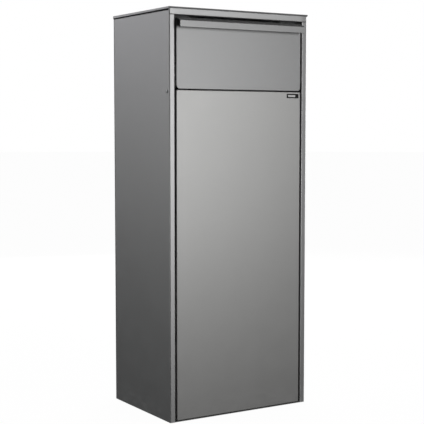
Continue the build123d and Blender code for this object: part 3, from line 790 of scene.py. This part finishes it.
@dataclass
class Cabinet(Assembly):
    """The fixed shell: sides, back, base, roof, header, consoles and what is fixed to them.

    Attributes:
        sheet: the shell's sheet thickness.
        lip_set_back: how far the roof's front lip slopes back.
        lip_rise: how far the lip's foot stands above the side flanges' feet.
        roof_round: the radius of the roof's outer bends.
        seal_drop: how far the black strip, a painted shadow line, shows below the roof's side flanges.
        screw_face: how far from the middle the side panels' outer faces lie.
        pad_height: the height of one rubber pad.
    """

    sheet: float = 1.5 * MM
    lip_set_back: float = 3.3 * MM
    lip_rise: float = 1.4 * MM
    roof_round: float = 1.3 * MM
    seal_drop: float = 2.8 * MM
    screw_face: float = 211 * MM
    pad_height: float = 16 * MM

    def build(self) -> None:
        """Dresses the CAD shell and adds the finer pieces."""
        coats = self.finishes
        dress(coats.folded, "left_side_panel", "right_side_panel", "header_rail")
        dress(coats.shell, "back_panel")
        dress(coats.lining, "base_pan", "front_sill", "catch_plate", "door_stops")
        # The consoles take the painted-shade coat.
        dress(coats.recess, "left_console", "right_console")
        dress(coats.mat, "compartment_mat")
        # The hinge bracket takes the black that stands for shade in the gap.
        dress(coats.blackened, "hinge_bracket")
        dress(coats.zinc, "door_pin_bottom", "pivot_pins")
        dress(coats.nylon, "pivot_blocks")
        self.roof()
        self.roof_seal()
        self.block_screws()
        self.bumpers()
        self.stop_pads()
        self.hinge_pin()

    def roof(self) -> None:
        """Roof sheet with rounded bends, turned-down sides and an undercut front lip."""
        low, high, _ = extent("roof_pan")
        shape = Shape()
        verts = shape.block(low, high)
        lip = [vert for vert in verts if vert.co.y < low.y + MM and vert.co.z < low.z + MM]
        bmesh.ops.translate(shape.bm, vec=(0, self.lip_set_back, self.lip_rise), verts=lip)
        top = high.z - MM
        bends = [edge for edge in shape.along(1) if edge.verts[0].co.z > top]
        bends += [edge for edge in shape.along(0) if edge.verts[0].co.z > top and edge.verts[0].co.y < 0]
        # The underside and the rear are open.
        open_faces = [face for face in shape.bm.faces if face.normal.z < -0.7 or face.normal.y > 0.9]
        bmesh.ops.delete(shape.bm, geom=open_faces, context="FACES_ONLY")
        bends = [edge for edge in bends if edge.is_valid]
        shape.round_off(bends, self.roof_round)
        bmesh.ops.solidify(shape.bm, geom=shape.bm.faces[:], thickness=self.sheet)
        shape.soften(BURR, CUT)
        shape.piece("roof_sheet", "cabinet", "painted_steel", [self.finishes.shell], ["roof_pan"])

    def roof_seal(self) -> None:
        """Black strip under each side flange of the roof, a painted shadow line below the flange."""
        low, high, _ = extent("roof_pan")
        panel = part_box("right_side_panel")[1][0]
        shape = Shape()
        for side in (-1, 1):
            inner, outer = sorted((side * (panel + 0.02 * MM), side * (high.x - 0.2 * MM)))
            shape.block(
                (inner, low.y + 8 * MM, low.z - self.seal_drop), (outer, high.y - 2 * MM, low.z + 0.5 * MM)
            )
        shape.soften(0.3 * MM)
        shape.piece("roof_seal", "cabinet", "rubber", [self.finishes.seal])

    def block_screws(self) -> None:
        """Domed screws with a round socket, one in each side."""
        low, high, middle = extent("pivot_block_screws")
        face, rim = self.screw_face, (high.z - low.z) / 2
        crown = [(face + 0.35 * MM + along * 0.86, radius) for along, radius in domed(high.x - face, rim, 7)]
        crown = [pair for pair in crown if pair[1] > 2.2 * MM]
        socket = [(crown[-1][0], 1.75 * MM), (crown[-1][0] - 1.5 * MM, 1.6 * MM), (face + 0.8 * MM, 0.0)]
        shank = [(face - 9 * MM, 0.0), (face - 9 * MM, 2.2 * MM), (face - 8.5 * MM, 2.5 * MM)]
        shape = Shape()
        shape.turn_pair([*shank, (face, 2.5 * MM), (face, rim), *crown, *socket], middle.y, middle.z, 36)
        zinc = [self.finishes.zinc]
        shape.piece("block_screws_domed", "cabinet", "zinc_steel", zinc, ["pivot_block_screws"], 30)

    def bumpers(self) -> None:
        """Rubber bumpers with a rounded nose and a dished centre, where the hopper rests."""
        low, high, middle = extent("hopper_rest_bumpers")
        radius = (high.z - low.z) / 2
        length = high.y - low.y
        edge = 1.2 * MM
        nose = [(edge - along, radius - edge + r) for along, r in domed(edge, edge, 4)]
        shape = Shape()
        for side in (-1, 1):
            centre = (side * (high.x - radius), low.y, middle.z)
            profile = [(length, 0.0), (length, radius), (length - 1.5 * MM, radius),
                       (length - 2.2 * MM, radius - 0.6 * MM), (3 * MM, radius - 0.4 * MM), *nose,
                       (0.0, 2.6 * MM), (0.9 * MM, 1.6 * MM), (1.0 * MM, 0.0)]
            shape.turn(profile, Axis.Y, centre)
        shape.piece(
            "rest_bumpers_moulded", "cabinet", "rubber", [self.finishes.rubber], ["hopper_rest_bumpers"]
        )

    def stop_pads(self) -> None:
        """Rubber pads with rounded edges and three shallow recesses, behind the door's free edge."""
        low, high, _ = extent("door_stop_pads")
        shape = Shape()
        for foot in (low.z, high.z - self.pad_height):
            shape.block((low.x, low.y, foot), (high.x, high.y, foot + self.pad_height))
        bmesh.ops.subdivide_edges(shape.bm, edges=shape.along(2), cuts=2, use_grid_fill=True)
        front = shape.facing((0, -1, 0))
        bmesh.ops.inset_individual(shape.bm, faces=front, thickness=0.8 * MM, depth=0.0)
        bmesh.ops.translate(
            shape.bm, vec=(0, 0.4 * MM, 0), verts=list({v for face in front for v in face.verts})
        )
        shape.soften(0.3 * MM)
        shape.piece("stop_pads_moulded", "cabinet", "rubber", [self.finishes.rubber], ["door_stop_pads"])

    def hinge_pin(self) -> None:
        """Upper hinge pin with a domed head and a chamfered tip."""
        low, high, middle = extent("door_pin_top")
        centre = (middle.x, middle.y, low.z)
        length = high.z - low.z
        head = length - 1.5 * MM
        shank, rim = 2.5 * MM, 4.0 * MM
        dome = [(head + 0.5 * MM + along, radius) for along, radius in domed(1.0 * MM, rim)]
        profile = [(0.0, 0.0), (0.0, 1.9 * MM), (0.6 * MM, shank), (head, shank), (head, rim), *dome]
        shape = Shape()
        shape.turn(profile, Axis.Z, centre)
        shape.piece("hinge_pin_headed", "cabinet", "zinc_steel", [self.finishes.zinc], ["door_pin_top"])


@dataclass
class Hopper(Assembly):
    """The tilting hopper: front, pull handle, bucket and the ears that it hangs from.

    Attributes:
        sheet: the thickness of the front and the bucket.
        pull_sheet: the thickness of the pull handle.
        bend: the distance from a corner at which a bend starts.
        corner: the radius of the front's lower corners.
        strip: the height of the pull's front strip.
        tail: the height of the pull's tail behind the front.
        tail_inset: how much narrower the tail is at each end.
        hem: the height of the pull's turned-back lower edge.
        buffer_root: how far from the middle the buffers start.
    """

    sheet: float = 1.2 * MM
    pull_sheet: float = 1.5 * MM
    bend: float = 1.6 * MM
    corner: float = 7.45 * MM
    strip: float = 17.9 * MM
    tail: float = 20 * MM
    tail_inset: float = 0.2 * MM
    hem: float = 3.2 * MM
    buffer_root: float = 138 * MM

    def build(self) -> None:
        """Dresses the bucket and adds the finer pieces."""
        coats = self.finishes
        dress(coats.lining, "hopper_floor", "left_cheek", "right_cheek")
        # The ears take the black that stands for shade in the gaps beside the hopper.
        dress(coats.blackened, "left_ear", "right_ear")
        dress(coats.nylon, "ear_bushes")
        self.front()
        self.pull()
        self.rivets()
        self.buffers()

    def front(self) -> None:
        """Front sheet, its side returns and its rounded lower corners."""
        low, high, _ = extent("hopper_front")
        foot = low.z + self.corner
        shape = Shape()
        path = [(low.x, high.y, foot), (low.x, low.y, foot), (high.x, low.y, foot), (high.x, high.y, foot)]
        line = shape.bent_line(path, self.bend)
        shape.draw_out(line, (0, 0, high.z - foot))
        sill = max(line, key=lambda edge: edge.calc_length())
        hem = shape.draw_out([sill], (0, 0, -self.corner))
        shape.round_off(hem, self.corner * 0.97, 8)
        bmesh.ops.recalc_face_normals(shape.bm, faces=shape.bm.faces[:])
        inward = self.sheet if shape.facing((0, -1, 0)) else -self.sheet
        bmesh.ops.solidify(shape.bm, geom=shape.bm.faces[:], thickness=inward)
        shape.soften(BURR, CUT)
        shape.piece("hopper_face", "hopper", "hopper_paint", [self.finishes.hopper], ["hopper_front"])

    def pull(self) -> None:
        """Pull handle: a front strip with a hemmed edge, a slope and a tail behind the front."""
        low, high, _ = extent("pull_handle")
        shoulder = low.z + self.strip
        inner = low.y + self.pull_sheet + 2.2 * MM
        strip = Shape()
        strip.fold(
            [(low.x, inner, low.z + self.hem), (low.x, inner, low.z), (low.x, low.y, low.z),
             (low.x, low.y, shoulder), (low.x, high.y, high.z), (low.x, high.y, high.z - 4 * MM)],
            self.bend, self.pull_sheet, (high.x - low.x, 0, 0),
        )
        reach = high.x - self.tail_inset
        tail = (-reach, high.y - self.pull_sheet, high.z - self.tail)
        strip.block(tail, (reach, high.y, high.z - 3.5 * MM))
        strip.soften(BURR, CUT)
        strip.piece("pull_strip", "hopper", "hopper_paint", [self.finishes.hopper], ["pull_handle"])

    def rivets(self) -> None:
        """Domed rivets that join each ear to the front's side return."""
        low, high, middle = extent("ear_rivets")
        radius = 3.6 * MM
        outer = high.x
        cap = [(outer - 0.6 * MM + along, r) for along, r in domed(0.6 * MM, radius, 5)]
        inner = [(outer - 4.5 * MM, 0.0), (outer - 4.35 * MM, radius * 0.7), (outer - 3.3 * MM, radius)]
        profile = [*inner, (outer - 3.3 * MM, 2 * MM), (outer - 0.6 * MM, 2 * MM), *cap]
        shape = Shape()
        for z in (low.z + radius, high.z - radius):
            shape.turn_pair(profile, middle.y, z, 24)
        shape.piece("ear_rivets_domed", "hopper", "zinc_steel", [self.finishes.zinc], ["ear_rivets"], 30)

    def buffers(self) -> None:
        """Rubber buffers with a base flange and a rounded end, on the bucket's cheeks."""
        low, high, middle = extent("hopper_stop_buffers")
        radius = (high.z - low.z) / 2
        root, end, nose = self.buffer_root, high.x, 1.5 * MM
        tip = [(end - nose + along, radius - nose + r) for along, r in domed(nose, nose, 4)]
        profile = [(root, 0.0), (root, radius), (root + 1.2 * MM, radius),
                   (root + 1.8 * MM, radius - 0.5 * MM), (root + 2.4 * MM, radius), *tip,
                   (end - 0.3 * MM, 1.4 * MM), (end - 0.3 * MM, 0.0)]
        shape = Shape()
        shape.turn_pair(profile, middle.y, middle.z)
        shape.piece(
            "stop_buffers_moulded", "hopper", "rubber", [self.finishes.rubber], ["hopper_stop_buffers"]
        )


@dataclass
class Door(Assembly):
    """The inset door: leaf, stiffeners, keeper, bushes and badge.

    Attributes:
        sheet: the leaf's thickness.
        round: the radius of the leaf's outer edges.
        badge_border: the width of the badge's border.
        badge_sink: how far the badge's field lies below its border.
        badge_mark: the pale bar's inset from the badge's left end, its width, and its inset from
            the top and the bottom.
    """

    sheet: float = 1.5 * MM
    round: float = 2.0 * MM
    badge_border: float = 0.7 * MM
    badge_sink: float = 0.12 * MM
    badge_mark: tuple[float, float, float] = (4.0 * MM, 23.0 * MM, 3.4 * MM)

    def build(self) -> None:
        """Dresses the door's inner parts and adds the finer pieces."""
        coats = self.finishes
        dress(coats.lining, "door_stiffeners")
        dress(coats.zinc, "lock_keeper")
        self.leaf()
        self.bushes()
        self.badge()

    def leaf(self) -> None:
        """Front with four returns and rounded outer edges, open at the rear."""
        low, high, _ = extent("door_skin")
        shape = Shape()
        shape.block(low, high)
        rear = shape.facing((0, 1, 0))
        bmesh.ops.delete(shape.bm, geom=rear, context="FACES_ONLY")
        front = {edge for face in shape.facing((0, -1, 0)) for edge in face.edges}
        shape.round_off({*front, *shape.along(1)}, self.round, 5)
        bmesh.ops.solidify(shape.bm, geom=shape.bm.faces[:], thickness=self.sheet)
        shape.soften(BURR, CUT)
        shape.piece("door_leaf", "door", "painted_steel", [self.finishes.door], ["door_skin"])

    def bushes(self) -> None:
        """Nylon bushes, a hair proud of the door's top and bottom returns."""
        for node, way in (("door_bush_top", -1), ("door_bush_bottom", 1)):
            low, high, middle = extent(node)
            face = high.z if way < 0 else low.z
            centre = (middle.x, middle.y, face)
            bore, wall, flange = 2.55 * MM, 4.4 * MM, 5.7 * MM
            profile = [(-0.1 * MM, bore + 0.3 * MM), (-0.1 * MM, wall), (1.5 * MM, wall), (1.5 * MM, flange),
                       (3.0 * MM, flange), (3.0 * MM, wall), (6.0 * MM, wall), (6.0 * MM, bore),
                       (0.2 * MM, bore), (-0.1 * MM, bore + 0.3 * MM)]
            shape = Shape()
            shape.turn([(way * along, r) for along, r in profile], Axis.Z, centre)
            shape.piece(node + "_turned", "door", "nylon", [self.finishes.nylon], [node])

    def badge(self) -> None:
        """Plain dark plate with a dark satin border and one pale bar."""
        low, high, _ = extent("badge_plate")
        shape = Shape()
        shape.block(low, high)
        shape.round_off(shape.along(1), 1.5 * MM, 5)
        shape.soften(0.12 * MM, 80.0)
        face = max(shape.facing((0, -1, 0)), key=lambda item: item.calc_area())
        bmesh.ops.inset_region(shape.bm, faces=[face], thickness=self.badge_border, use_even_offset=True)
        bmesh.ops.inset_region(shape.bm, faces=[face], thickness=0.1 * MM, depth=-self.badge_sink)
        for item in shape.bm.faces:
            item.material_index = 1
        face.material_index = 0
        start, width, inset = self.badge_mark
        bar = shape.block(
            (low.x + start, low.y + 0.02 * MM, low.z + inset),
            (low.x + start + width, low.y + self.badge_sink, high.z - inset),
        )
        for item in {face for vert in bar for face in vert.link_faces}:
            item.material_index = 2
        finishes = [self.finishes.badge, self.finishes.badge_rim, self.finishes.badge_mark]
        shape.piece("badge_enamelled", "door", "badge", finishes, ["badge_plate"])


@dataclass
class Lock(Assembly):
    """The cam lock in the right console.

    Attributes:
        sides: how many flats the nut has.
    """

    sides: int = 6

    def build(self) -> None:
        """Dresses the plug and cam and adds the finer pieces."""
        dress(self.finishes.chrome, "lock_plug")
        dress(self.finishes.zinc, "lock_cam")
        self.barrel()
        self.nut()
        self.screw()

    def barrel(self) -> None:
        """Barrel with a stepped and rounded bezel."""
        low, high, middle = extent("lock_body")
        radius = (high.x - low.x) / 2
        centre = (middle.x, low.y, middle.z)
        length = high.y - low.y
        bore = 6.05 * MM
        bezel = [(0.25 * MM, bore), (0.0, bore + 0.4 * MM), (0.0, radius - 2.2 * MM),
                 (0.25 * MM, radius - 1.9 * MM), (0.25 * MM, radius - 1.5 * MM)]
        edge, body = 0.95 * MM, 9.4 * MM
        bezel += [(1.2 * MM - along, radius - edge + r) for along, r in domed(edge, edge, 4)][::-1]
        profile = [*bezel, (2.5 * MM, radius), (2.5 * MM, body), (length - 0.5 * MM, body),
                   (length, 8.9 * MM), (length, bore), (0.25 * MM, bore)]
        shape = Shape()
        shape.turn(profile, Axis.Y, centre, 56)
        shape.piece("lock_barrel", "cabinet", "lock_chrome", [self.finishes.chrome], ["lock_body"], 30)

    def nut(self) -> None:
        """Hexagon nut with chamfered corners."""
        low, high, middle = extent("lock_nut")
        shape = Shape()
        matrix = Matrix.Translation(middle) @ Axis.Y.turned() @ Matrix.Rotation(pi / 6, 4, "Z")
        radius = max(high.x - low.x, high.z - low.z) / 2
        bmesh.ops.create_cone(
            shape.bm, cap_ends=True, segments=self.sides, radius1=radius, radius2=radius,
            depth=high.y - low.y, matrix=matrix,
        )
        caps = [face for face in shape.bm.faces if len(face.verts) == self.sides]
        bmesh.ops.inset_region(shape.bm, faces=caps, thickness=1.9 * MM)
        bmesh.ops.delete(shape.bm, geom=caps, context="FACES_ONLY")
        rims = [edge for edge in shape.bm.edges if edge.is_boundary]
        bmesh.ops.bridge_loops(shape.bm, edges=rims)
        shape.soften(0.35 * MM)
        shape.piece("lock_nut_chamfered", "cabinet", "zinc_steel", [self.finishes.zinc], ["lock_nut"])

    def screw(self) -> None:
        """Domed cam screw with a round socket."""
        low, high, middle = extent("cam_screw")
        radius = (high.x - low.x) / 2
        centre = (middle.x, low.y, middle.z)
        dome = [(1.2 * MM + along, r) for along, r in domed(high.y - low.y - 1.2 * MM, radius)]
        dome = [pair for pair in dome if pair[1] > 1.5 * MM]
        crown = dome[-1][0]
        profile = [(0.0, 0.0), (0.0, radius), *dome, (crown, 1.3 * MM), (crown - 1.2 * MM, 1.2 * MM),
                   (crown - 1.4 * MM, 0.0)]
        shape = Shape()
        shape.turn(profile, Axis.Y, centre, 30)
        shape.piece("cam_screw_domed", "lock", "zinc_steel", [self.finishes.zinc], ["cam_screw"], 30)


@dataclass
class Bracket(Assembly):
    """Rivets of the door's upper hinge bracket.

    Attributes:
        spacing: the distance between the two rivets.
    """

    spacing: float = 11 * MM

    def build(self) -> None:
        """Adds the two domed rivets."""
        low, high, middle = extent("bracket_rivets")
        radius = (high.z - low.z) / 2
        length = high.y - low.y
        rise, shank = 1.2 * MM, 2 * MM
        cap = [(rise - along, r) for along, r in domed(rise, radius, 5)][::-1]
        tail = [(length - rise + along, r) for along, r in domed(rise, radius, 5)]
        shape = Shape()
        for side in (-1, 1):
            centre = (middle.x + side * self.spacing / 2, low.y, middle.z)
            shape.turn([*cap, (rise, shank), (length - rise, shank), *tail], Axis.Y, centre, 24)
        zinc = [self.finishes.zinc]
        shape.piece("bracket_rivets_domed", "cabinet", "zinc_steel", zinc, ["bracket_rivets"], 30)


# ---- studio


@dataclass(frozen=True)
class Softbox:
    """One soft rectangular light.

    Attributes:
        name: the light's name.
        place: where it hangs.
        aim: the point that it looks at.
        size: its width and height.
        power: its power, in watts.
        colour: its colour.
    """

    name: str
    place: Point
    aim: Point
    size: tuple[float, float]
    power: float
    colour: Colour = (1.0, 1.0, 1.0)

    def hang(self) -> None:
        """Adds the light."""
        data = bpy.data.lights.new(self.name, "AREA")
        data.shape = "RECTANGLE"
        data.size, data.size_y = self.size
        data.energy = self.power
        data.color = self.colour
        light = add_object(self.name, data)
        light.location = self.place
        light.rotation_euler = (Vector(self.aim) - Vector(self.place)).to_track_quat("-Z", "Y").to_euler()


@dataclass
class Studio:
    """Plain pale floor, soft light and the camera.

    Attributes:
        lights: the softboxes.
        ambient: the strength of the even light from all round.
        lens: the camera's focal length for a 36 mm wide picture, in millimetres.
        stand: where the camera stands.
        yaw: how far the camera looks right of straight back, in degrees.
        pitch: how far it looks down, in degrees.
    """

    lights: Sequence[Softbox] = field(default_factory=lambda: LIGHTS)
    ambient: float = 0.03
    lens: float = 93.91
    stand: Point = (-1.579, -2.557, 0.754)
    yaw: float = 31.82
    pitch: float = 4.44

    def build(self) -> None:
        """Sets up the room, the lights and the camera."""
        bpy.context.scene.view_settings.view_transform = "Standard"
        self.floor()
        self.world()
        for light in self.lights:
            light.hang()
        self.camera()

    def floor(self) -> None:
        """A wide pale floor."""
        graph = new_graph("pale_floor")
        speckle = graph.noise(0.4, 2.0)
        material = graph.surface(
            Base_Color=graph.blend(speckle, (0.02, 0.02, 0.02), (0.03, 0.03, 0.03)),
            Roughness=0.9,
            Specular_IOR_Level=0.0,
            Emission_Color=(1.0, 1.0, 1.0, 1.0),
            Emission_Strength=0.98,
        )
        bm = bmesh.new()
        bmesh.ops.create_circle(bm, cap_ends=True, radius=30.0, segments=64)
        mesh = bpy.data.meshes.new("floor")
        bm.to_mesh(mesh)
        bm.free()
        mesh.materials.append(material)
        floor = add_object("floor", mesh)
        floor.visible_diffuse = False
        floor.visible_glossy = False

    def world(self) -> None:
        """Even light from all round, seen as white."""
        world = bpy.data.worlds.new("studio")
        bpy.context.scene.world = world
        graph = Graph(world, "ShaderNodeOutputWorld")
        sight = graph.node("ShaderNodeLightPath", output="Is Camera Ray")
        room = graph.node("ShaderNodeBackground", None, {"Strength": self.ambient})
        seen = graph.node("ShaderNodeBackground", None, {"Color": (1.0, 1.0, 1.0, 1.0)})
        graph.close(graph.node("ShaderNodeMixShader", None, {0: sight, 1: room, 2: seen}))

    def camera(self) -> None:
        """The camera."""
        data = bpy.data.cameras.new("camera")
        data.sensor_width = 36.0
        data.lens = self.lens
        camera = add_object("camera", data)
        camera.location = self.stand
        camera.rotation_euler = (radians(90 - self.pitch), 0.0, radians(-self.yaw))
        bpy.context.scene.camera = camera


LIGHTS = (
    Softbox("front_low", (0.2, -2.8, 0.6), (0.0, -0.15, 0.5), (0.8, 0.8), 11.8),
    Softbox("right_near", (0.9, -2.6, 1.4), (0.0, -0.15, 0.7), (0.8, 0.8), 11.4),
    Softbox("right_near_low", (0.9, -2.6, 0.6), (0.0, -0.15, 0.5), (0.8, 0.8), 10.9),
    Softbox("right_middle", (1.6, -2.4, 1.4), (0.0, -0.15, 0.7), (0.8, 0.8), 1.5),
    Softbox("rear_left", (-1.9, 2.8, 1.9), (-0.2, 0.0, 0.8), (1.4, 1.4), 14.5, (0.97, 0.96, 1.0)),
    Softbox("rear_low_left", (-2.2, 2.6, 0.8), (-0.2, 0.0, 0.5), (1.0, 1.0), 4.0),
    Softbox("side_low", (-2.6, 0.6, 0.5), (-0.2, 0.0, 0.4), (0.8, 0.8), 9.8, (0.98, 1.0, 0.99)),
    Softbox("rear_right", (2.2, 1.9, 1.9), (0.1, 0.1, 0.6), (1.4, 1.4), 28.0),
    Softbox("rear_middle", (1.0, 3.2, 1.1), (0.1, 0.1, 0.5), (1.8, 1.8), 42.0),
    Softbox("right_side", (3.2, 1.1, 0.9), (0.1, 0.1, 0.5), (1.6, 1.6), 36.0),
    Softbox("above_rear", (0.9, 1.5, 2.9), (0.1, 0.1, 0.9), (1.6, 1.6), 18.0),
)


def main() -> None:
    """Builds the box and the studio, in order."""
    logging.basicConfig(level=logging.INFO, format="%(name)s: %(message)s")
    finishes = Finishes.mixed()
    for assembly in (Cabinet(finishes), Hopper(finishes), Door(finishes), Lock(finishes), Bracket(finishes)):
        assembly.build()
        LOG.info("%s is done", type(assembly).__name__)
    Studio().build()


if __name__ == "__main__":
    main()
